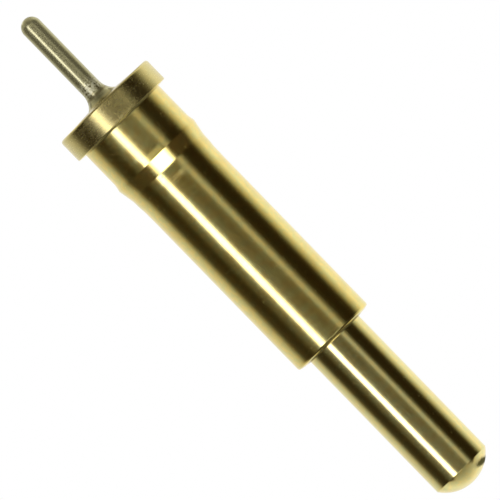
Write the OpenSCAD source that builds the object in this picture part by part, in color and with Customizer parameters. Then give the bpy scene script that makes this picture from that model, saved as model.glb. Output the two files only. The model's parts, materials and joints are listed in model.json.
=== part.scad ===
// Pogo pin: a turned barrel with a solder tail, a sprung hollow plunger and its coil spring.
// Millimetres. The origin is the centre of the flange's board face, and +Z runs along the axis towards the contact tip.

/* [Barrel] */
// Length of the barrel from the flange's board face to the mouth
barrel_l = 5.3; // [4.6:0.005:7]
// Diameter of the body
body_d = 1.524; // [1.46:0.001:1.532]
// Thickness of the body's wall
wall_t = 0.142; // [0.11:0.005:0.16]
// Metal left between the board face and the full diameter of the bore
floor_t = 0.75; // [0.6:0.05:1.3]
// Point angle of the drills that cut the bore and the plunger's pocket
drill_angle = 118; // [100:1:140]

/* [Flange] */
// Diameter of the flange
flange_d = 1.9; // [1.8:0.01:2.6]
// Thickness of the flange
flange_t = 0.44; // [0.25:0.01:0.6]
// Chamfer on both rims of the flange
flange_chamfer = 0.04; // [0.01:0.01:0.08]

/* [Neck and press ring] */
// Diameter of the neck above the flange
neck_d = 1.61; // [1.58:0.01:1.64]
// Length of the neck
neck_l = 0.66; // [0.3:0.01:1.2]
// Diameter of the press ring's crest
ring_d = 1.66; // [1.65:0.01:1.75]
// Length of the steep rise from the neck to the crest
ring_rise_l = 0.095; // [0.03:0.005:0.15]
// Length of the crest
ring_crest_l = 0.03; // [0.02:0.005:0.1]
// Length of the lead-in cone past the crest
ring_lead_l = 0.255; // [0.1:0.005:0.4]
// Diameter at the small end of the lead-in cone
ring_lead_d = 1.566; // [1.562:0.001:1.6]
// Length of the shallow taper past the lead-in cone
ring_taper_l = 0.165; // [0.08:0.005:0.3]
// Diameter at the small end of the shallow taper
ring_taper_d = 1.54; // [1.535:0.001:1.56]
// Length over which the taper runs out on the body
ring_runout_l = 0.215; // [0.1:0.005:0.5]

/* [Solder tail] */
// Diameter of the tail
tail_d = 0.35; // [0.25:0.01:0.45]
// Length of the tail below the board face, with its round end
tail_l = 1.81; // [1:0.01:4]
// Diameter of the tail's root at the board face
tail_root_d = 0.54; // [0.5:0.01:0.8]
// Length of the root's hollow fillet
tail_root_l = 0.22; // [0.1:0.01:0.4]

/* [Mouth] */
// Straight length of the turned-in lip
lip_l = 0.08; // [0.05:0.01:0.2]
// Gap all round between the lip and the plunger
lip_clearance = 0.015; // [0.01:0.005:0.03]
// Reach of the rounding on the mouth's outer rim
mouth_round = 0.06; // [0.02:0.01:0.08]
// How far the mouth's face falls from its inner edge to that rounding
mouth_fall = 0.02; // [0.005:0.005:0.04]
// Chamfer on the mouth's inner rim
lip_chamfer = 0.02; // [0.01:0.005:0.04]

/* [Plunger] */
// Diameter of the plunger's stem
plunger_d = 1.067; // [1.03:0.001:1.1]
// How far the tip stands out of the mouth at rest
plunger_out = 3.17; // [2.6:0.001:4]
// Radius of the domed contact tip
tip_r = 0.648; // [0.6:0.01:2]
// Chamfer where the stem meets the dome
rim_chamfer = 0.012; // [0.005:0.001:0.03]
// Length of the piston with its shoulder
piston_l = 1.2; // [0.9:0.05:1.5]
// Gap all round between the piston and the bore
piston_clearance = 0.012; // [0.01:0.002:0.03]
// Length of each of the piston's two bearing bands
band_l = 0.34; // [0.2:0.01:0.4]
// Depth of the waist between the bands
waist_depth = 0.045; // [0.02:0.005:0.06]
// Gap along the axis between the shoulder and the lip at rest
stop_clearance = 0.02; // [0.015:0.005:0.05]
// Depth of the spring's pocket at its full diameter
pocket_l = 1.9; // [1.5:0.05:2.4]
// Chamfer at the open end of the piston and the pocket
piston_chamfer = 0.05; // [0.02:0.01:0.07]

/* [Spring] */
// Outer diameter of the coil
spring_od = 0.8; // [0.72:0.01:0.84]
// Diameter of the wire
wire_d = 0.12; // [0.08:0.01:0.13]
// Turns in all, with one closed turn at each end
turns = 20; // [12:1:20]
// Gap between neighbouring wires in a closed turn
closed_gap = 0.01; // [0.005:0.005:0.03]
// Gap all round between the coil and the plunger's pocket
pocket_clearance = 0.03; // [0.015:0.005:0.045]
// Gap between the end turns and the drilled cones they sit in
seat_clearance = 0.008; // [0.005:0.001:0.02]
// Sides of the wire
wire_sides = 6; // [5:1:8]
// Steps in each turn
steps = 16; // [12:1:20]

/* [Hidden] */
$fn = 96;

gold = [0.85, 0.7, 0.34];
pale_gold = [0.86, 0.76, 0.5];
steel = [0.72, 0.72, 0.7];

// Depth of a drilled cone for each unit of its radius
drill_slope = 1 / tan(drill_angle / 2);

// Radii, from the outside in
body_r = body_d / 2;
neck_r = neck_d / 2;
ring_r = ring_d / 2;
flange_r = flange_d / 2;
plunger_r = plunger_d / 2;
bore_r = body_r - wall_t;
mouth_r = plunger_r + lip_clearance;
piston_r = bore_r - piston_clearance;
coil_r = (spring_od - wire_d) / 2;
pocket_r = spring_od / 2 + pocket_clearance;

// Heights along the barrel
neck_top = flange_t + neck_l;
crest_low = neck_top + ring_rise_l;
crest_top = crest_low + ring_crest_l;
lead_top = crest_top + ring_lead_l;
taper_top = lead_top + ring_taper_l;
runout_top = taper_top + ring_runout_l;
lip_low = barrel_l - lip_l;
lip_cone_low = lip_low - (bore_r - mouth_r);
bore_tip = floor_t - bore_r * drill_slope;
rim_low = barrel_l - mouth_fall;
mouth_bevel = mouth_round * (1 - cos(45));

// Radius of the root's fillet, which meets the straight tail without a step
root_flare = (tail_root_d - tail_d) / 2;
root_r = (tail_root_l * tail_root_l + root_flare * root_flare) / (2 * root_flare);

// Heights along the plunger: its 45 degree shoulder lies parallel to the cone behind the lip
shoulder_top = lip_low + lip_clearance - stop_clearance;
shoulder_low = shoulder_top - (piston_r - plunger_r);
piston_low = shoulder_top - piston_l;
tip_z = barrel_l + plunger_out;
dome_z = tip_z - tip_r;
rim_z = dome_z + sqrt(tip_r * tip_r - plunger_r * plunger_r);
pocket_top = piston_low + pocket_l;

// Heights of the wire's centre in the end turns, where the round wire touches each drilled cone
wire_lift = (wire_d / 2 + seat_clearance) * sqrt(1 + drill_slope * drill_slope);
coil_low = floor_t - (bore_r - coil_r) * drill_slope + wire_lift;
coil_top = pocket_top + (pocket_r - coil_r) * drill_slope - wire_lift;
closed_pitch = wire_d + closed_gap;
open_pitch = (coil_top - coil_low - 2 * closed_pitch) / (turns - 2);

// A solid of revolution from its half section, given as [radius, height] points
module turned(outline) {
    rotate_extrude() polygon(outline);
}

// Outside of the barrel above the board face: flange, neck, press ring and body
module barrel_outside() {
    turned([
        [0, 0],
        [flange_r - flange_chamfer, 0],
        [flange_r, flange_chamfer],
        [flange_r, flange_t - flange_chamfer],
        [flange_r - flange_chamfer, flange_t],
        [neck_r, flange_t],
        [neck_r, neck_top],
        [ring_r, crest_low],
        [ring_r, crest_top],
        [ring_lead_d / 2, lead_top],
        [ring_taper_d / 2, taper_top],
        [body_r, runout_top],
        [body_r, rim_low - mouth_round],
        [body_r - mouth_bevel, rim_low - mouth_bevel],
        [body_r - mouth_round, rim_low],
        [mouth_r, barrel_l],
        [0, barrel_l]
    ]);
}

// Bore with its drilled end and the cone behind the turned-in lip
module barrel_bore() {
    turned([
        [0, bore_tip],
        [bore_r, floor_t],
        [bore_r, lip_cone_low],
        [mouth_r, lip_low],
        [mouth_r, barrel_l - lip_chamfer],
        [mouth_r + 2 * lip_chamfer, barrel_l + lip_chamfer],
        [0, barrel_l + lip_chamfer]
    ]);
}

// Solder tail: filleted root, straight wire and full round end
module tail() {
    rotate_extrude()
        translate([0, -tail_root_l])
            difference() {
                square([tail_root_d / 2, tail_root_l]);
                translate([tail_d / 2 + root_r, 0])
                    circle(root_r);
            }
    translate([0, 0, tail_d / 2 - tail_l])
        cylinder(d = tail_d, h = tail_l - tail_d / 2 - tail_root_l);
    translate([0, 0, tail_d / 2 - tail_l])
        sphere(d = tail_d);
}

module barrel() {
    color(gold)
    difference() {
        union() {
            barrel_outside();
            tail();
        }
        barrel_bore();
    }
}

// Stem with a square end, shoulder, and piston with two bearing bands
module plunger_outside() {
    turned([
        [0, piston_low],
        [piston_r - piston_chamfer, piston_low],
        [piston_r, piston_low + piston_chamfer],
        [piston_r, piston_low + band_l],
        [piston_r - waist_depth, piston_low + band_l + waist_depth],
        [piston_r - waist_depth, shoulder_low - band_l - waist_depth],
        [piston_r, shoulder_low - band_l],
        [piston_r, shoulder_low],
        [plunger_r, shoulder_top],
        [plunger_r, rim_z - rim_chamfer],
        [plunger_r - rim_chamfer, rim_z],
        [plunger_r - rim_chamfer, tip_z],
        [0, tip_z]
    ]);
}

// Waste around the dome, which the forming tool takes off the stem's square end
module dome_waste() {
    rotate_extrude()
        difference() {
            translate([0, rim_z])
                square([body_d, tip_r]);
            translate([0, dome_z])
                circle(tip_r);
        }
}

// Drilled pocket that holds the upper part of the spring
module pocket() {
    turned([
        [0, piston_low - piston_chamfer],
        [pocket_r + 2 * piston_chamfer, piston_low - piston_chamfer],
        [pocket_r, piston_low + piston_chamfer],
        [pocket_r, pocket_top],
        [0, pocket_top + pocket_r * drill_slope]
    ]);
}

module plunger() {
    color(pale_gold)
    difference() {
        plunger_outside();
        dome_waste();
        pocket();
    }
}

// Height of the wire's centre after u turns: closed turn, open turns, closed turn
function wire_z(u) =
    u < 1 ? coil_low + u * closed_pitch
    : u > turns - 1 ? coil_top - (turns - u) * closed_pitch
    : coil_low + closed_pitch + (u - 1) * open_pitch;

// Point on the wire's skin after u turns, at angle a round the wire
function wire_point(u, a) = let (r = coil_r + wire_d / 2 * cos(a))
    [r * cos(360 * u), r * sin(360 * u), wire_z(u) + wire_d / 2 * sin(a)];

module spring() {
    rings = turns * steps;
    n = wire_sides;
    color(steel)
    polyhedron(
        points = [for (i = [0 : rings]) for (j = [0 : n - 1]) wire_point(i / steps, 360 * j / n)],
        faces = concat(
            [[for (j = [0 : n - 1]) j]],
            [for (i = [0 : rings - 1]) for (j = [0 : n - 1])
                [i * n + (j + 1) % n, i * n + j, (i + 1) * n + j, (i + 1) * n + (j + 1) % n]],
            [[for (j = [0 : n - 1]) rings * n + n - 1 - j]]
        ),
        convexity = 10
    );
}

barrel();
plunger();
spring();
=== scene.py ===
import json
import math
import bpy
import numpy as np
from mathutils import Matrix, Vector


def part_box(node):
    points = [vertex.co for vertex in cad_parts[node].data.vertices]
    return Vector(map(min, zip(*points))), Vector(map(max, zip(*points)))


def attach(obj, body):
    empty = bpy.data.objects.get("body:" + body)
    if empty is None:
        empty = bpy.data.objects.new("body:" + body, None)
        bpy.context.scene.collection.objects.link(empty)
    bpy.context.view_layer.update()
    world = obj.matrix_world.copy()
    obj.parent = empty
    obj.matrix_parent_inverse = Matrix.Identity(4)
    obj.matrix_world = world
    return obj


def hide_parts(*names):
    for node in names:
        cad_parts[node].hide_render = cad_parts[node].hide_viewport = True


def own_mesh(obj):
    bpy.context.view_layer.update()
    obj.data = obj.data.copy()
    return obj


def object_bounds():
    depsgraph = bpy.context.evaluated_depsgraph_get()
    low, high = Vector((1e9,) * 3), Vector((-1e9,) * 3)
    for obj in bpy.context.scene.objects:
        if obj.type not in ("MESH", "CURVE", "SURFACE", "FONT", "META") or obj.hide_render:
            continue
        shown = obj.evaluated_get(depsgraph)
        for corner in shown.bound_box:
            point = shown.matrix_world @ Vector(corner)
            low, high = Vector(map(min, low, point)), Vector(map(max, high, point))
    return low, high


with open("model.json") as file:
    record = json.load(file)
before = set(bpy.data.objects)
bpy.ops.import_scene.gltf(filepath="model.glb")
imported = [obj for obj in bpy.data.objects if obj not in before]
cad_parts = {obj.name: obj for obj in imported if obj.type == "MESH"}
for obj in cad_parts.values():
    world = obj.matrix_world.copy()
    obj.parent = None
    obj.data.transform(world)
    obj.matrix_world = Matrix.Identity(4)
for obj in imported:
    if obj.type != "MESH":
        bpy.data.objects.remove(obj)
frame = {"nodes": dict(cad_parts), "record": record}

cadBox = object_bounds()
mounts = {m["name"]: m for m in frame["record"]["mounts"]}
mm = 0.001
print("frame loaded:", ", ".join(sorted(frame["nodes"])))


def roundedOutline(corners, arcSteps=7):
    # Each corner is (radius, height, rounding), in mm. A corner becomes a circular arc that is
    # tangent to both of its sides: its ends lie rounding * tan(turn / 2) away, and it is drawn
    # with even steps of angle. An arc takes a little less than half of either side at most.
    smallest, nearlyStraight, mostOfSide = 1e-5, 1.57, 0.49
    pts = np.array([c[:2] for c in corners], float)
    out = [pts[:1]]
    for i in range(1, len(pts) - 1):
        back, ahead = pts[i - 1] - pts[i], pts[i + 1] - pts[i]
        backL, aheadL = np.hypot(*back), np.hypot(*ahead)
        back, ahead = back / backL, ahead / aheadL
        half = math.acos(np.clip(back @ ahead, -1, 1)) / 2  # half the angle between the sides
        reach = min(corners[i][2] / math.tan(half), mostOfSide * backL, mostOfSide * aheadL)
        r = reach * math.tan(half)
        if r < smallest or half > nearlyStraight:
            out.append(pts[i:i + 1])
            continue
        inward = (back + ahead) / np.hypot(*(back + ahead))
        centre = pts[i] + inward * r / math.sin(half)
        start, end = pts[i] + back * reach - centre, pts[i] + ahead * reach - centre
        turn = math.atan2(start[0] * end[1] - start[1] * end[0], start @ end)
        a = np.linspace(0, turn, arcSteps)[:, None]
        side = np.array([-start[1], start[0]])
        out.append(centre + start * np.cos(a) + side * np.sin(a))
    out.append(pts[-1:])
    return np.vstack(out)


def filledOutline(pts, longest=0.12, guard=0.004):
    # Long straight stretches get even points no more than longest apart, in mm, and one point
    # guard away from each end, so that the smooth shading of a corner's arc stays at the corner.
    out = [pts[:1]]
    for a, b in zip(pts[:-1], pts[1:]):
        length = np.hypot(*(b - a))
        if length > 4 * guard:
            even = np.linspace(0, 1, max(2, int(math.ceil(length / longest)) + 1))
            share = np.unique(np.concatenate([even, [guard / length, 1 - guard / length]]))
        else:
            share = np.array([0.0, 1.0])
        out.append(a + (b - a) * share[1:, None])
    return np.vstack(out)


def gridFaces(rows, columns, joined=True, flip=False):
    # Quads between neighbouring rows of a grid of points, and a fan of triangles from each end row
    # to a vertex of its own; the two fans' vertices follow the grid. A joined grid closes round its
    # rows, and flip turns every face over.
    j = np.arange(columns if joined else columns - 1)
    k = (j + 1) % columns
    row = (np.arange(rows - 1) * columns)[:, None]
    quads = np.stack([row + j, row + k, row + columns + k, row + columns + j], -1).reshape(-1, 4)
    top = (rows - 1) * columns
    first = np.full(len(j), rows * columns)
    fans = np.vstack([np.stack([k, j, first], -1), np.stack([top + j, top + k, first + 1], -1)])
    return (quads[:, [0, 3, 2, 1]], fans[:, [1, 0, 2]]) if flip else (quads, fans)


def meshFrom(name, verts, quads, tris):
    # Fills a mesh from whole arrays: corners first, then where each face starts and how many
    # corners it has.
    me = bpy.data.meshes.new(name)
    corners = np.concatenate([quads.ravel(), tris.ravel()]).astype(np.int32)
    sizes = np.concatenate([np.full(len(quads), 4), np.full(len(tris), 3)]).astype(np.int32)
    starts = np.concatenate([[0], np.cumsum(sizes)[:-1]]).astype(np.int32)
    me.vertices.add(len(verts))
    me.vertices.foreach_set("co", verts.astype(np.float32).ravel())
    me.loops.add(len(corners))
    me.loops.foreach_set("vertex_index", corners)
    me.polygons.add(len(sizes))
    me.polygons.foreach_set("loop_start", starts)
    me.polygons.foreach_set("loop_total", sizes)
    me.polygons.foreach_set("use_smooth", np.ones(len(sizes), bool))
    me.update(calc_edges=True)
    me.validate()
    piece = bpy.data.objects.new(name, me)
    bpy.context.scene.collection.objects.link(piece)
    return piece


def turnedMesh(name, outline, around):
    # A point at (radius, height) turned by the angle a lies at (radius cos a, radius sin a,
    # height). The outline starts and ends on the axis, where one vertex closes the surface.
    r, z = outline[1:-1, 0] * mm, outline[1:-1, 1] * mm
    a = np.linspace(0, 2 * math.pi, around, endpoint=False)
    height = np.repeat(z[:, None], around, 1)
    grid = np.stack([np.outer(r, np.cos(a)), np.outer(r, np.sin(a)), height], -1)
    ends = [[0, 0, outline[0, 1] * mm], [0, 0, outline[-1, 1] * mm]]
    return meshFrom(name, np.vstack([grid.reshape(-1, 3), ends]), *gridFaces(len(r), around))


class Wire:
    # One output socket that can stand in a sum.
    def __init__(self, tree, socket):
        self.tree, self.socket = tree, socket

    def maths(self, operation, a, b):
        n = self.tree.nodes.new("ShaderNodeMath")
        n.operation = operation
        for socket, v in zip(n.inputs, (a, b)):
            if isinstance(v, Wire):
                self.tree.links.new(v.socket, socket)
            else:
                socket.default_value = v
        return Wire(self.tree, n.outputs[0])

    def __add__(self, o): return self.maths("ADD", self, o)
    def __radd__(self, o): return self.maths("ADD", o, self)
    def __sub__(self, o): return self.maths("SUBTRACT", self, o)
    def __rsub__(self, o): return self.maths("SUBTRACT", o, self)
    def __mul__(self, o): return self.maths("MULTIPLY", self, o)
    def __rmul__(self, o): return self.maths("MULTIPLY", o, self)
    def __truediv__(self, o): return self.maths("DIVIDE", self, o)
    def __rtruediv__(self, o): return self.maths("DIVIDE", o, self)
    def __pow__(self, o): return self.maths("POWER", self, o)
    def __abs__(self): return self.maths("ABSOLUTE", self, 0.0)
    def most(self, o): return self.maths("MINIMUM", self, o)
    def least(self, o): return self.maths("MAXIMUM", self, o)


class NodeBench:
    # Makes the nodes of one material or world. Colours are given as red, green and blue.
    def __init__(self, owner):
        owner.use_nodes = True
        self.tree = owner.node_tree
        self.tree.nodes.clear()

    def node(self, kind, settings=None, inputs=None, out=0):
        n = self.tree.nodes.new(kind)
        for key, v in (settings or {}).items():
            if key == "stops":
                points = n.color_ramp.elements
                while len(points) < len(v):
                    points.new(0.5)
                for point, (at, colour) in zip(points, v):
                    point.position, point.color = at, (*colour, 1)
            else:
                setattr(n, key, v)
        for key, v in (inputs or {}).items():
            socket = n.inputs[key]
            if isinstance(v, Wire):
                self.tree.links.new(v.socket, socket)
            else:
                socket.default_value = (*v, 1) if socket.type == "RGBA" else v
        return Wire(self.tree, n.outputs[out]) if n.outputs else n

    def coords(self, axes):
        # The object's own coordinates along the named axes, in metres
        place = self.node("ShaderNodeTexCoord", out=3)
        return [self.node("ShaderNodeSeparateXYZ", None, {0: place}, out="xyz".index(axis))
                for axis in axes]

    def noise(self, around, along, detail, roughness=0.5):
        # Noise with around cells a metre across the axis and along cells a metre along it
        place = self.node("ShaderNodeTexCoord", out=3)
        cells = self.node("ShaderNodeMapping", {"vector_type": "POINT"},
                          {"Vector": place, "Scale": (around, around, along)})
        return self.node("ShaderNodeTexNoise", None, {
            "Vector": cells, "Scale": 1.0, "Detail": detail, "Roughness": roughness})

    def blend(self, share, a, b):
        # A colour share of the way from a to b
        return self.node("ShaderNodeMix", {"data_type": "RGBA"}, {0: share, 6: a, 7: b}, out=2)

    def smooth(self, value, low, high):
        # 0 below low, 1 above high, with an S curve between them
        return self.node("ShaderNodeMapRange", {"interpolation_type": "SMOOTHSTEP"},
                         {0: value, 1: low, 2: high, 3: 0.0, 4: 1.0})

    def fall(self, value, low, high):
        # 1 below low, 0 above high, with an S curve between them
        return 1 - self.smooth(value, low, high)

    def mixShader(self, share, a, b):
        # Shader a where share is 0 and b where it is 1
        return self.node("ShaderNodeMixShader", None, {0: share, 1: a, 2: b})


plateLook = {  # the same for the barrel and the plunger
    "toneRange": (0.38, 0.62), "bandRange": (0.4, 0.75), "speckSoft": 0.05, "pitRough": 0.15,
    "roughRange": (0.05, 0.9), "bumpDistance": 0.001,
}


def goldPlate(name, look, extra):
    # Bright gold plate over turned brass. Fine rings round the axis, long faint bands and a soft
    # mottle, all of noise that lies about 0.5, move the colour, the roughness and the height.
    # extra(bench, colour, rough, height) adds what only one piece has, and says how metallic the
    # plate is and where a matt dark layer covers it: a dark mark on the plunger's dome, and painted
    # shade on the barrel's lip and in its flange's corner.
    p = plateLook
    mat = bpy.data.materials.new(name)
    bench = NodeBench(mat)
    rings = bench.noise(look["ringRound"], look["ringAlong"], detail=3.0, roughness=0.6)
    bands = bench.noise(look["bandRound"], look["bandAlong"], detail=2.0)
    mottle = bench.noise(look["mottle"], look["mottle"], detail=3.0, roughness=0.55)
    specks = bench.noise(look["specks"], look["specks"], detail=1.0)
    tone = bench.smooth(mottle, *p["toneRange"])
    band = bench.smooth(bands, *p["bandRange"]) * look["bandDepth"]
    pits = bench.smooth(specks, look["speckFrom"], look["speckFrom"] + p["speckSoft"])
    colour = bench.blend(tone, look["warm"], look["cool"])
    colour = bench.blend(band, colour, look["deep"])
    colour = bench.blend(pits * look["speckDepth"], colour, look["pit"])
    rough = (look["rough"] + (rings - 0.5) * look["ringRough"]
             + (tone - 0.5) * look["mottleRough"] + pits * p["pitRough"])
    height = ((rings - 0.5) * look["ringHeight"] + (mottle - 0.5) * look["mottleHeight"]
              - pits * look["pitHeight"])
    colour, rough, height, metal, soot = extra(bench, colour, rough, height)
    smoothest, roughest = p["roughRange"]
    bump = bench.node("ShaderNodeBump", None, {
        "Height": height, "Strength": 1.0, "Distance": p["bumpDistance"]})
    plate = bench.node("ShaderNodeBsdfPrincipled", None, {
        "Base Color": colour, "Metallic": metal,
        "Roughness": rough.least(smoothest).most(roughest), "Normal": bump})
    # the matt dark layer: a dark mark on the plunger's dome, and painted shade on the barrel
    matt = bench.node("ShaderNodeBsdfDiffuse", None, {"Color": look["soot"]})
    bench.node("ShaderNodeOutputMaterial", None, {"Surface": bench.mixShader(soot, plate, matt)})
    return mat


barrel = {
    "size": {  # mm
        "rootR": 0.30, "rootL": 0.25, "footHeight": 0.03, "footR": 0.75,
        "flangeT": 0.44, "flangeCrown": 0.365, "flangeFall": 0.0024, "flangeEdge": 0.424,
        "neckR": 0.805, "neckTop": 1.10,
        "ringR": 0.83, "crest": 1.223, "leadR": 0.781, "leadTop": 1.487,
        "taperR": 0.776, "taperTop": 1.638, "creaseR": 0.7662, "creaseTop": 1.736,
        "runoutTop": 2.0, "mouthBevelL": 0.028, "mouthBevelR": 0.012, "rimL": 0.020,
        "rimR": 0.045, "mouthFall": 0.02, "mouthR": 0.5485, "lipL": 0.08,
        "boreR": 0.62, "floorT": 0.75, "boreTip": 0.3775,
        "endSteps": 15, "rootSteps": 17, "around": 192,
    },
    "rounding": {  # mm
        "foot": 1.0, "flange": 0.05, "crown": 0.05, "edge": 0.012, "neckLow": 0.006,
        "neckTop": 0.5, "crest": 0.01, "lead": 0.4, "taper": 0.2, "crease": 0.8, "runout": 2.0,
        "bevelLow": 0.006, "bevelTop": 0.01, "rim": 0.02, "lip": 0.003, "lipLow": 0.01,
        "bore": 0.02,
    },
    "look": {
        "warm": (0.95, 0.745, 0.242), "cool": (0.825, 0.73, 0.275), "deep": (0.80, 0.61, 0.20),
        # the soot colour is a matt dark layer, which on the barrel is painted shade on the lip and
        # in the flange's corner
        "pit": (0.55, 0.42, 0.16), "soot": (0.10, 0.085, 0.03),
        "ringRound": 300, "ringAlong": 42000, "bandRound": 900, "bandAlong": 3800,
        "mottle": 8500, "specks": 26000,
        "bandDepth": 0.45, "speckFrom": 0.75, "speckDepth": 0.5,
        "rough": 0.135, "ringRough": 0.08, "mottleRough": 0.03,
        "ringHeight": 0.0005, "mottleHeight": 0.0006, "pitHeight": 0.0002,
    },
    "wear": {
        # a dark brown for specks of grime and for painted shade; of the shares on the next line,
        # the spots are grime and the rest are painted shade
        "grime": (0.20, 0.14, 0.045),
        "lip": 0.7, "corner": 0.8, "haze": 0.34, "spots": 0.5, "ring": 0.6,
        "tailPale": 0.95, "tailColour": (0.485, 0.455, 0.255),
        "tailRough": 0.27, "tailCalm": 0.97, "tailMatt": 0.2,
        "flangePale": 0.7, "flangeColour": (0.70, 0.60, 0.26),
        "flangeRough": 0.13, "neckRough": 0.05,
        "patch": 0.8, "patchColour": (0.86, 0.83, 0.60), "patchRough": 0.25, "patchMatt": 0.15,
    },
    "wearPlace": {  # mm, but grit is in cells a metre, and the grit ranges are levels of its noise
        "tailTop": (-0.13, -0.08), "paleTop": (-0.03, 0.0),
        "flangeLow": -0.05, "flangeSoft": 0.02,
        "underMouth": (0.040, 0.026), "lipWide": (0.45, 0.62),
        "underEdge": 0.014, "overFlange": 0.015, "cornerSoft": 0.008, "cornerWide": (0.55, 0.80),
        "patchLow": (-0.50, -0.30), "patchTop": (-0.24, -0.17), "patchGrit": (0.34, 0.60),
        "spots": (-0.35, -0.17, 0.04), "spotGrit": (0.36, 0.44), "ring": (-0.165, -0.135, 0.02),
        "hazeWide": (0.38, 0.72), "hazeRagged": 0.3, "grit": 26000,
    },
}


def barrelOutline(s, r):
    # The half section from the tail's tip up the outside, over the lip and down the bore
    low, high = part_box("barrel")
    flangeR = high[0] / mm
    tailTip, mouth = low[2] / mm, high[2] / mm
    tailR = mounts["board_tail"]["dims"]["r_mm"]
    bodyR = mounts["housing_hole"]["dims"]["r_mm"]
    # the tail's end is a quarter circle turned round the axis
    a = np.linspace(0, math.pi / 2, s["endSteps"])[:-1]
    end = [(tailR * math.sin(x), tailTip + tailR * (1 - math.cos(x)), 0) for x in a]
    # the root is a hollow arc that leaves the straight tail without a step
    flare, rootLow = s["rootR"] - tailR, -s["footHeight"] - s["rootL"]
    rootRound = (s["rootL"] ** 2 + flare ** 2) / (2 * flare)
    b = np.linspace(0, math.asin(s["rootL"] / rootRound), s["rootSteps"])
    root = [(tailR + rootRound * (1 - math.cos(x)), rootLow + rootRound * math.sin(x), 0)
            for x in b]
    rimLow = mouth - s["mouthFall"]
    bevelTop = rimLow - s["rimL"]
    bevelR = bodyR - s["mouthBevelR"]
    lipLow = mouth - s["lipL"]
    corners = end + [(tailR, tailTip + tailR, 0)] + root + [
        (s["footR"], 0, r["foot"]), (flangeR, 0, r["flange"]),
        (flangeR, s["flangeCrown"], r["crown"]),
        (flangeR - s["flangeFall"], s["flangeEdge"], r["edge"]),
        (s["neckR"], s["flangeT"], r["neckLow"]), (s["neckR"], s["neckTop"], r["neckTop"]),
        (s["ringR"], s["crest"], r["crest"]), (s["leadR"], s["leadTop"], r["lead"]),
        (s["taperR"], s["taperTop"], r["taper"]), (s["creaseR"], s["creaseTop"], r["crease"]),
        (bodyR, s["runoutTop"], r["runout"]),
        (bodyR, bevelTop - s["mouthBevelL"], r["bevelLow"]), (bevelR, bevelTop, r["bevelTop"]),
        (bevelR - s["rimR"], rimLow, r["rim"]),
        (s["mouthR"], mouth, r["lip"]), (s["mouthR"], lipLow, r["lipLow"]),
        (s["boreR"], lipLow - (s["boreR"] - s["mouthR"]), r["bore"]),
        (s["boreR"], s["floorT"], r["bore"]), (0, s["boreTip"], 0)]
    return filledOutline(roundedOutline(corners))


def barrelWear(bench, colour, rough, height):
    # The neck and the flange are a little duller than the body. The tail is duller and paler, with
    # a matt patch near its root and dark specks of grime. Painted shade lies as a matt dark layer
    # in the flange's corner and on the turned-in lip, as a darker band round the tail's root and as
    # a brown darkening over the flange's front and back. Each zone is a range of the height z
    # between two S curves; most also end at a distance from the middle, wide.
    x, z = (c / mm for c in bench.coords("xz"))
    wide = abs(x)
    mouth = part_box("barrel")[1][2] / mm
    w, at, s = barrel["wear"], barrel["wearPlace"], barrel["size"]

    def zone(low, high, soft):
        return bench.smooth(z, low - soft, low + soft) * bench.fall(z, high - soft, high + soft)

    grit = bench.noise(at["grit"], at["grit"], detail=2.0)
    soft = at["flangeSoft"]
    tail = bench.fall(z, *at["tailTop"])
    pale = bench.fall(z, *at["paleTop"])
    flange = zone(at["flangeLow"], s["flangeT"] - soft, soft)
    neck = zone(s["flangeT"], s["neckTop"] - soft, soft)
    # Painted shade: a matt dark layer on the turned-in lip, strongest at its front and back.
    lip = bench.smooth(z, *(mouth - depth for depth in at["underMouth"]))
    lip = lip * bench.fall(wide, *at["lipWide"])
    # Painted shade: a matt dark layer in the corner between the flange and the neck, at its front
    # and back.
    cornerEnds = s["flangeEdge"] - at["underEdge"], s["flangeT"] + at["overFlange"]
    corner = zone(*cornerEnds, at["cornerSoft"]) * bench.fall(wide, *at["cornerWide"])
    patch = bench.smooth(z, *at["patchLow"]) * bench.fall(z, *at["patchTop"])
    patch = patch * bench.smooth(grit, *at["patchGrit"])
    spots = zone(*at["spots"]) * bench.fall(grit, *at["spotGrit"])
    # Painted shade: a darker band in the crease round the tail's root.
    ring = zone(*at["ring"])
    # Painted shade: a brown darkening over the flange's middle, front and back, that dims its
    # reflections there, with an edge made ragged by grit.
    haze = flange * bench.fall(wide + (grit - 0.5) * at["hazeRagged"], *at["hazeWide"])
    # Dark specks of grime near the tail's root, together with the painted shade round the root.
    grime = (spots * w["spots"]).least(ring * w["ring"])
    colour = bench.blend(pale * w["tailPale"], colour, w["tailColour"])
    colour = bench.blend(flange * w["flangePale"], colour, w["flangeColour"])
    colour = bench.blend(patch * w["patch"], colour, w["patchColour"])
    colour = bench.blend(haze * w["haze"], colour, w["grime"])
    colour = bench.blend(grime, colour, w["grime"])
    rough = (rough + (w["tailRough"] - rough) * tail * w["tailCalm"]
             + flange * w["flangeRough"] + neck * w["neckRough"] + patch * w["patchRough"])
    metal = 1 - tail * w["tailMatt"] - patch * w["patchMatt"]
    # The matt dark layer here is all painted shade, on the lip and in the flange's corner.
    soot = (lip * w["lip"]).least(corner * w["corner"])
    return colour, rough, height * (1 - tail * w["tailCalm"]), metal, soot


barrelSide = barrelOutline(barrel["size"], barrel["rounding"])
barrelSkin = turnedMesh("barrel_skin", barrelSide, barrel["size"]["around"])
barrelSkin.data.materials.append(goldPlate("barrel gold plate", barrel["look"], barrelWear))
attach(barrelSkin, "barrel")
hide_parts("barrel")
print("barrel turned:", len(barrelSkin.data.polygons), "faces")


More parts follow.
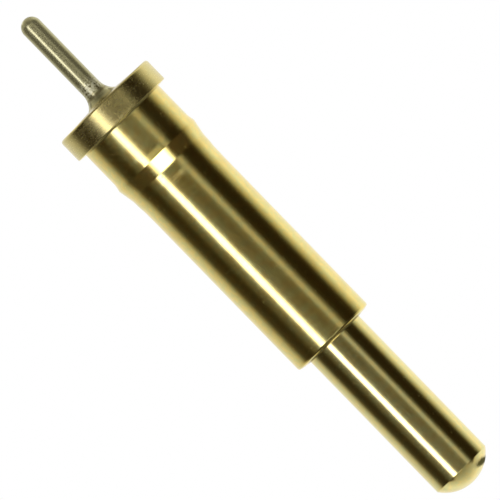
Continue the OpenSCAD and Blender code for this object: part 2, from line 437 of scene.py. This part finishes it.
plunger = {
    "size": {  # mm
        "stemR": 0.5335, "tipR": 0.648,
        "shoulderTop": 5.215, "bandL": 0.34, "waist": 0.045, "pistonRound": 0.05,
        "pocketR": 0.43, "pocketTop": 5.915, "pocketTip": 6.173, "pocketFlare": 0.05,
        "edgeRounding": 0.01, "hollowRounding": 0.02, "rimRounding": 0.003,
        "domeSteps": 40, "around": 192,
    },
    "look": {
        "warm": (0.93, 0.765, 0.297), "cool": (0.82, 0.75, 0.33), "deep": (0.80, 0.65, 0.26),
        "pit": (0.55, 0.45, 0.2), "soot": (0.045, 0.042, 0.008),
        "ringRound": 300, "ringAlong": 46000, "bandRound": 1100, "bandAlong": 3200,
        "mottle": 9500, "specks": 30000,
        "bandDepth": 0.4, "speckFrom": 0.73, "speckDepth": 0.45,
        "rough": 0.125, "ringRough": 0.07, "mottleRough": 0.03,
        "ringHeight": 0.00045, "mottleHeight": 0.0006, "pitHeight": 0.00015,
    },
    "mark": {  # mm, but grit is in cells a metre, and the ranges are shares of the ellipses
        "x": -0.325, "down": 0.140, "wide": 0.125, "high": 0.050,
        "range": (0.50, 1.30), "depth": 0.93,
        "grit": 26000, "ragged": 0.8, "frontHalf": (-0.05, 0.0),
        "tarnishShift": 0.03, "tarnishDown": 0.165, "tarnishWide": 0.17, "tarnishHigh": 0.075,
        "tarnishRange": (0.2, 1.0), "tarnishDepth": 0.55, "tarnishColour": (0.36, 0.28, 0.10),
    },
}


def plungerOutline(s):
    # The half section from the spring's pocket round the piston and up the stem to the dome
    low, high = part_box("plunger")
    pistonR, pistonLow, tip = high[0] / mm, low[2] / mm, high[2] / mm
    shoulderLow = s["shoulderTop"] - (pistonR - s["stemR"])
    steep = math.asin(s["stemR"] / s["tipR"])
    rim = tip - s["tipR"] * (1 - math.cos(steep))
    # the dome is an arc of radius tipR about a centre on the axis
    a = np.linspace(steep, 0, s["domeSteps"])[1:]
    dome = [(s["tipR"] * math.sin(x), tip - s["tipR"] * (1 - math.cos(x)), 0) for x in a]
    b, w, flare, bevel = s["bandL"], s["waist"], s["pocketFlare"], s["pistonRound"]
    edge, hollow = s["edgeRounding"], s["hollowRounding"]
    corners = [
        (0, s["pocketTip"], 0), (s["pocketR"], s["pocketTop"], hollow),
        (s["pocketR"], pistonLow + flare, edge), (s["pocketR"] + flare, pistonLow, edge),
        (pistonR - bevel, pistonLow, edge), (pistonR, pistonLow + bevel, edge),
        (pistonR, pistonLow + b, edge), (pistonR - w, pistonLow + b + w, hollow),
        (pistonR - w, shoulderLow - b - w, hollow), (pistonR, shoulderLow - b, edge),
        (pistonR, shoulderLow, edge), (s["stemR"], s["shoulderTop"], hollow),
        (s["stemR"], rim, s["rimRounding"])] + dome
    return filledOutline(roundedOutline(corners))


def tipMarks(bench, colour, rough, height):
    # On one side of the dome lies a dark contact mark: an ellipse across the axis, with a ragged
    # edge. A faint tarnish spreads from it towards the edge, over a wider ellipse.
    x, y, z = (c / mm for c in bench.coords("xyz"))
    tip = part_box("plunger")[1][2] / mm
    m = plunger["mark"]

    def ellipse(aside, down, wide, high):
        # The square root of (aside / wide) squared plus (height / high) squared, from its middle
        across, lengthways = aside / wide, (z - (tip - down)) / high
        return (across * across + lengthways * lengthways) ** 0.5

    aside = x - m["x"]
    grit = bench.noise(m["grit"], m["grit"], detail=2.0)
    away = ellipse(aside, m["down"], m["wide"], m["high"]) + (grit - 0.5) * m["ragged"]
    spread = ellipse(aside - m["tarnishShift"], m["tarnishDown"],
                     m["tarnishWide"], m["tarnishHigh"])
    near = bench.fall(y, *m["frontHalf"])
    mark = bench.fall(away, *m["range"]) * near
    tarnish = bench.fall(spread, *m["tarnishRange"]) * near
    colour = bench.blend(tarnish * m["tarnishDepth"], colour, m["tarnishColour"])
    return colour, rough, height, 1.0, mark * m["depth"]


plungerSide = plungerOutline(plunger["size"])
plungerSkin = turnedMesh("plunger_skin", plungerSide, plunger["size"]["around"])
plungerSkin.data.materials.append(goldPlate("plunger gold plate", plunger["look"], tipMarks))
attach(plungerSkin, "plunger")
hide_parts("plunger")
print("plunger turned:", len(plungerSkin.data.polygons), "faces")


springWound = {
    "size": {"turns": 20, "wireR": 0.06, "closedPitch": 0.13, "steps": 44, "sides": 12},  # mm
    "look": {
        "bright": (0.60, 0.60, 0.58), "dull": (0.42, 0.41, 0.39), "rough": 0.28,
        "lineRound": 30000, "lineAlong": 60000, "lineRange": (0.35, 0.65), "lineRough": 0.2,
    },
}


def springCoil(s):
    # After u turns the wire's centre is at (c cos 2 pi u, c sin 2 pi u, h(u)), where h rises by
    # the closed pitch over the first and the last turn and evenly between them; the skin is a
    # circle of radius wireR about that centre.
    low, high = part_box("spring")
    wireR, sides = s["wireR"], s["sides"]
    coilR = high[0] / mm - wireR
    bottom, top = low[2] / mm + wireR, high[2] / mm - wireR
    n, p = s["turns"], s["closedPitch"]
    u = np.linspace(0, n, n * s["steps"] + 1)
    h = np.interp(u, [0, 1, n - 1, n], [bottom, bottom + p, top - p, top])
    b = np.linspace(0, 2 * math.pi, sides, endpoint=False)
    r = coilR + wireR * np.cos(b)[None, :]
    turn = 2 * math.pi * u[:, None]
    height = h[:, None] + wireR * np.sin(b)[None, :]
    grid = np.stack([r * np.cos(turn), r * np.sin(turn), height], -1) * mm
    ends = np.array([[coilR * math.cos(2 * math.pi * x), coilR * math.sin(2 * math.pi * x), y]
                     for x, y in ((u[0], h[0]), (u[-1], h[-1]))]) * mm
    verts = np.vstack([grid.reshape(-1, 3), ends])
    return meshFrom("spring_coil", verts, *gridFaces(len(u), sides, flip=True))


def springWire(look):
    # Drawn wire: fine lengthwise drawing lines show as a change of grey and of roughness
    mat = bpy.data.materials.new("spring wire")
    bench = NodeBench(mat)
    lines = bench.noise(look["lineRound"], look["lineAlong"], detail=3.0)
    colour = bench.blend(bench.smooth(lines, *look["lineRange"]), look["dull"], look["bright"])
    shader = bench.node("ShaderNodeBsdfPrincipled", None, {
        "Base Color": colour, "Metallic": 1.0,
        "Roughness": look["rough"] + (lines - 0.5) * look["lineRough"]})
    bench.node("ShaderNodeOutputMaterial", None, {"Surface": shader})
    return mat


spring = springCoil(springWound["size"])
spring.data.materials.append(springWire(springWound["look"]))
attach(spring, "barrel")
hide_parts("spring")
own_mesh(spring)
print("spring wound:", len(spring.data.polygons), "faces")


studio = {
    "centre": tuple((np.array(cadBox[0]) + np.array(cadBox[1])) / 2), "shellR": 0.2, "peak": 6.0,
    # degrees round the axis from the front, then the card's brightness as red, green, blue
    "belt": [
        (-180, 1.00, 1.00, 1.00), (-148, 0.83, 0.84, 0.84), (-124, 0.66, 0.66, 0.65),
        (-113, 0.50, 0.50, 0.47), (-104, 0.26, 0.25, 0.21), (-97, 0.09, 0.08, 0.055),
        (-90, 0.050, 0.042, 0.026), (-76, 0.032, 0.024, 0.012), (-66, 0.040, 0.032, 0.016),
        (-58, 0.085, 0.080, 0.056), (-47, 0.145, 0.14, 0.125), (-41, 0.26, 0.26, 0.27),
        (-37.5, 1.2, 1.25, 1.5), (-35.5, 3.4, 3.4, 3.8), (-24.5, 3.4, 3.4, 3.8),
        (-21.5, 0.9, 0.95, 1.15), (-17, 0.25, 0.25, 0.27), (-11, 0.145, 0.14, 0.125),
        (0, 0.112, 0.105, 0.085), (10, 0.090, 0.078, 0.052), (17, 0.115, 0.103, 0.075),
        (24, 0.165, 0.160, 0.135), (30, 0.42, 0.42, 0.40), (37, 0.42, 0.42, 0.38),
        (43, 0.15, 0.145, 0.12), (50, 0.030, 0.024, 0.012), (60, 0.020, 0.014, 0.006),
        (75, 0.020, 0.014, 0.006), (84, 0.035, 0.027, 0.013), (90, 0.12, 0.11, 0.07),
        (98, 0.38, 0.37, 0.28), (120, 1.00, 1.00, 0.98)],
    # the same for the shell well below eye level round the back, for the views from behind
    "backBelt": [
        (0, 0.16, 0.15, 0.13), (60, 0.05, 0.045, 0.03), (95, 0.25, 0.24, 0.20),
        (112, 1.1, 1.1, 1.08), (126, 1.3, 1.3, 1.3), (134, 0.40, 0.39, 0.36),
        (150, 0.12, 0.115, 0.09), (168, 0.10, 0.09, 0.07), (182, 0.55, 0.55, 0.53),
        (192, 2.2, 2.2, 2.2), (202, 2.2, 2.2, 2.2), (210, 0.40, 0.40, 0.38),
        (226, 0.14, 0.13, 0.10), (242, 0.22, 0.21, 0.18), (256, 0.9, 0.9, 0.88),
        (272, 0.5, 0.5, 0.48), (290, 0.06, 0.05, 0.035), (330, 0.10, 0.09, 0.07),
        (360, 0.16, 0.15, 0.13)],
    "backTop": (-38.0, -28.0), "backFrom": (96.0, 110.0),
    # Each patch of light or shade lies on the front half, over one rise above eye level and under
    # another, up to a number of degrees aside; each pair is where an S curve begins and ends.
    "glow": {"over": (2.5, 4.0), "under": (5.0, 7.0), "aside": (20.0, 28.0),
             "share": 0.04, "colour": (3.2, 3.2, 3.0)},
    "lowGlow": {"under": (-30.0, -4.0), "aside": (18.0, 27.0),
                "share": 0.13, "colour": (3.2, 3.2, 2.8)},
    "dip": {"under": (-46.0, -38.0), "aside": (78.0, 100.0),
            "share": 1, "colour": (0.060, 0.046, 0.026)},
    "shade": {"over": (12.0, 15.5), "aside": (82.0, 96.0),
              "share": 1, "colour": (0.060, 0.046, 0.026)},
    "upperShade": {"over": (35.0, 40.0), "aside": (82.0, 104.0),
                   "share": 1, "colour": (0.050, 0.042, 0.028)},
    "frontCard": {"left": (-37.0, -15.0), "right": (15.0, 37.0), "low": (13.5, 16.5),
                  "high": (34.0, 38.0), "crisp": 1.6, "colour": (5.0, 5.0, 5.0)},
    "overheadNear": (0.30, 0.285, 0.22), "overheadFar": (0.98, 0.98, 0.96),
    "overheadLean": (-0.35, 1.1), "overheadSideways": 0.25, "overheadLeast": 0.01,
    "roofFrom": (60.0, 70.0), "backRoofFrom": (34.0, 46.0), "backRoofAside": (86.0, 102.0),
    "belowNear": (0.12, 0.115, 0.09), "belowFar": (0.80, 0.78, 0.68),
    "belowDepth": (-0.45, 1.1), "belowSideways": 0.4,
    "groundTop": (-62.0, -50.0), "groundLift": 14, "groundAside": (40.0, 80.0),
    "floorGap": 0.0025, "floorR": 0.04, "floorColour": (0.86, 0.86, 0.85), "surround": 0.85,
    "paperGrain": 4000.0, "paperLift": 1.02, "paperFade": (0.35, 0.95),
}


def studioShell(s):
    # A whole sphere turned inside out: at angle a round the axis and e above the horizon it lies
    # at (-sin a cos e, -cos a cos e, sin e) times the radius; the map holds a / 360 + 1/2 and
    # e / 180 + 1/2.
    a = np.radians(np.linspace(-180, 180, 181))
    e = np.radians(np.linspace(-90, 90, 91))[1:-1]
    aa, ee = np.meshgrid(a, e)
    centre = np.array(s["centre"])
    grid = np.stack([-np.sin(aa) * np.cos(ee), -np.cos(aa) * np.cos(ee), np.sin(ee)], -1)
    grid = grid * s["shellR"] + centre
    poles = [centre + [0, 0, h * s["shellR"]] for h in (-1, 1)]
    verts = np.vstack([grid.reshape(-1, 3), poles])
    shell = meshFrom("studio_shell", verts, *gridFaces(len(e), len(a), joined=False))
    share = np.stack([aa / (2 * np.pi) + 0.5, ee / np.pi + 0.5], -1).reshape(-1, 2)
    share = np.vstack([share, [[0.5, 0], [0.5, 1]]])
    corner = np.empty(len(shell.data.loops), np.int32)
    shell.data.loops.foreach_get("vertex_index", corner)
    uv = share[corner].astype(np.float32).ravel()
    shell.data.uv_layers.new(name="round").data.foreach_set("uv", uv)
    return shell


def shellLight(s):
    # The shell's light at angle degrees round the axis from the front and rise degrees above eye
    # level: two belts of cards, then patches laid over them from eye level outwards, then the
    # light overhead and the ground below.
    mat = bpy.data.materials.new("studio shell")
    bench = NodeBench(mat)
    peak = s["peak"]

    def paint(rgb):
        return tuple(c / peak for c in rgb)

    uv = bench.node("ShaderNodeUVMap", {"uv_map": "round"})
    u, v = (bench.node("ShaderNodeSeparateXYZ", None, {0: uv}, out=i) for i in (0, 1))
    angle, rise = u * 360.0 - 180.0, v * 180.0 - 90.0
    aside = abs(angle)
    turned = bench.node("ShaderNodeMath", {"operation": "FRACT"}, {0: u + 0.5})
    stops = [(a / 360 + 0.5, paint(rgb)) for a, *rgb in s["belt"]]
    belt = bench.node("ShaderNodeValToRGB", {"stops": stops}, {"Fac": u})
    stops = [(a / 360, paint(rgb)) for a, *rgb in s["backBelt"]]
    back = bench.node("ShaderNodeValToRGB", {"stops": stops}, {"Fac": turned})

    def laid(patch, under):
        share = bench.smooth(rise, *patch["over"]) if "over" in patch else 1
        if "under" in patch:
            share = share * bench.fall(rise, *patch["under"])
        share = share * bench.fall(aside, *patch["aside"]) * patch["share"]
        return bench.blend(share, under, paint(patch["colour"]))

    colour = belt
    for name in ("glow", "lowGlow", "dip", "shade"):
        colour = laid(s[name], colour)
    f = s["frontCard"]
    card = ((bench.smooth(angle, *f["left"]) * bench.fall(angle, *f["right"])) ** f["crisp"]
            * bench.smooth(rise, *f["low"]) * bench.fall(rise, *f["high"]))
    colour = bench.blend(card, colour, paint(f["colour"]))
    colour = laid(s["upperShade"], colour)
    # overhead, the light grows from the front towards the back and a little towards the sides
    x, y, z = bench.coords("xyz")
    sideways = abs(x)
    lean = (y + sideways * s["overheadSideways"]) / z.least(s["overheadLeast"])
    lit = bench.smooth(lean, *s["overheadLean"])
    roof = bench.blend(lit, paint(s["overheadNear"]), paint(s["overheadFar"]))
    backRoof = bench.smooth(rise, *s["backRoofFrom"]) * bench.smooth(aside, *s["backRoofAside"])
    colour = bench.blend(bench.smooth(rise, *s["roofFrom"]).least(backRoof), colour, roof)
    behind = bench.fall(rise, *s["backTop"]) * bench.smooth(aside, *s["backFrom"])
    colour = bench.blend(behind, colour, back)
    # below, the ground is dark in front and grows paler to the sides and towards the back, where
    # it also begins higher
    deep = (y + sideways * s["belowSideways"]) / s["shellR"]
    lit = bench.smooth(deep, *s["belowDepth"])
    earth = bench.blend(lit, paint(s["belowNear"]), paint(s["belowFar"]))
    lift = s["groundLift"] * bench.smooth(aside, *s["groundAside"])
    colour = bench.blend(bench.fall(rise - lift, *s["groundTop"]), colour, earth)
    glowing = bench.node("ShaderNodeEmission", None, {"Color": colour, "Strength": peak})
    bench.node("ShaderNodeOutputMaterial", None, {"Surface": glowing})
    mat.cycles.emission_sampling = "NONE"
    return mat


def disc(name, radius, z, around=96):
    # A flat fan of triangles from its middle to (radius cos a, radius sin a) at the height z
    a = np.linspace(0, 2 * math.pi, around, endpoint=False)
    rim = np.stack([radius * np.cos(a), radius * np.sin(a), np.full(around, z)], -1)
    j = np.arange(around)
    fan = np.stack([j, (j + 1) % around, np.full(around, around)], -1)
    return meshFrom(name, np.vstack([rim, [[0, 0, z]]]), np.zeros((0, 4), int), fan)


def floorPaper(s):
    # Pale paper that turns to plain white away from the middle, and cannot be seen from below
    mat = bpy.data.materials.new("floor paper")
    bench = NodeBench(mat)
    place = bench.node("ShaderNodeTexCoord", out=3)
    grain = bench.node("ShaderNodeTexNoise", None, {
        "Vector": place, "Scale": s["paperGrain"], "Detail": 2.0})
    lighter = tuple(c * s["paperLift"] for c in s["floorColour"])
    paper = bench.blend(grain, s["floorColour"], lighter)
    away = bench.node("ShaderNodeVectorMath", {"operation": "LENGTH"}, {0: place}, out=1)
    seen = bench.node("ShaderNodeLightPath", out=0)
    fade = bench.smooth(away, *(share * s["floorR"] for share in s["paperFade"])) * seen
    matt = bench.node("ShaderNodeBsdfDiffuse", None, {"Color": paper})
    white = bench.node("ShaderNodeEmission", None, {"Color": (1, 1, 1), "Strength": 1.0})
    clear = bench.node("ShaderNodeBsdfTransparent")
    below = bench.node("ShaderNodeNewGeometry", out=6)
    top = bench.mixShader(fade, matt, white)
    bench.node("ShaderNodeOutputMaterial", None, {"Surface": bench.mixShader(below, top, clear)})
    return mat


shell = studioShell(studio)
shell.data.materials.append(shellLight(studio))
shell.visible_camera = shell.visible_diffuse = shell.visible_shadow = False
shell.visible_transmission = shell.visible_volume_scatter = False
floor = disc("studio_floor", studio["floorR"], cadBox[0][2] - studio["floorGap"])
floor.data.materials.append(floorPaper(studio))
floor.visible_glossy = False

# the surround is at full strength for camera, glossy and transmission rays
surround = bpy.data.worlds.new("white surround")
bpy.context.scene.world = surround
bench = NodeBench(surround)
paths = [bench.node("ShaderNodeLightPath", out=i) for i in (0, 3, 6)]
plain = (paths[0] + paths[1] + paths[2]).most(1.0)
strength = plain + (1 - plain) * studio["surround"]
white = bench.node("ShaderNodeBackground", None, {"Color": (1, 1, 1), "Strength": strength})
bench.node("ShaderNodeOutputWorld", None, {"Surface": white})

lamps = {"overhead": {"at": (-0.03, -0.05, 0.09), "size": 0.06, "power": 0.02}}
for name, lamp in lamps.items():
    light = bpy.data.lights.new(name, "AREA")
    light.shape, light.size, light.energy = "DISK", lamp["size"], lamp["power"]
    holder = bpy.data.objects.new(name, light)
    bpy.context.scene.collection.objects.link(holder)
    holder.location = lamp["at"]
    aim = np.array(studio["centre"]) - np.array(lamp["at"])
    holder.rotation_mode = "QUATERNION"
    holder.rotation_quaternion = Vector(aim).to_track_quat("-Z", "Y")
    holder.visible_glossy = False
print("studio set: shell, floor and", len(lamps), "lamp")


camera = {  # metres, but the frame's width and the point looked at are in mm, and angles in degrees
    "distance": 0.3, "frameWidth": 7.975, "below": 0.0, "roll": 45.8,
    "lookAt": (-0.019, 0.0, 3.336), "sensorWidth": 36.0, "clip": (0.01, 2.0),
}


def placeCamera(c):
    # The view direction rises by below degrees; the axis runs to the lower right, roll degrees
    # under the horizontal, so right = cos(roll) up0 - sin(roll) right0 and
    # up = -sin(roll) up0 - cos(roll) right0.
    e, r = math.radians(c["below"]), math.radians(c["roll"])
    ahead = np.array([0, math.cos(e), math.sin(e)])
    right0, up0 = np.array([1.0, 0, 0]), np.array([0, -math.sin(e), math.cos(e)])
    right = math.cos(r) * up0 - math.sin(r) * right0
    up = -math.sin(r) * up0 - math.cos(r) * right0
    data = bpy.data.cameras.new("camera")
    data.sensor_width = c["sensorWidth"]
    data.lens = data.sensor_width * c["distance"] / (c["frameWidth"] * mm)
    data.clip_start, data.clip_end = c["clip"]
    cam = bpy.data.objects.new("camera", data)
    bpy.context.scene.collection.objects.link(cam)
    where = np.array(c["lookAt"]) * mm - ahead * c["distance"]
    m = np.eye(4)
    m[:3, 0], m[:3, 1], m[:3, 2], m[:3, 3] = right, up, -ahead, where
    cam.matrix_world = Matrix(m.tolist())
    bpy.context.scene.camera = cam


placeCamera(camera)
bpy.context.scene.view_settings.view_transform = "Standard"
print("camera placed")
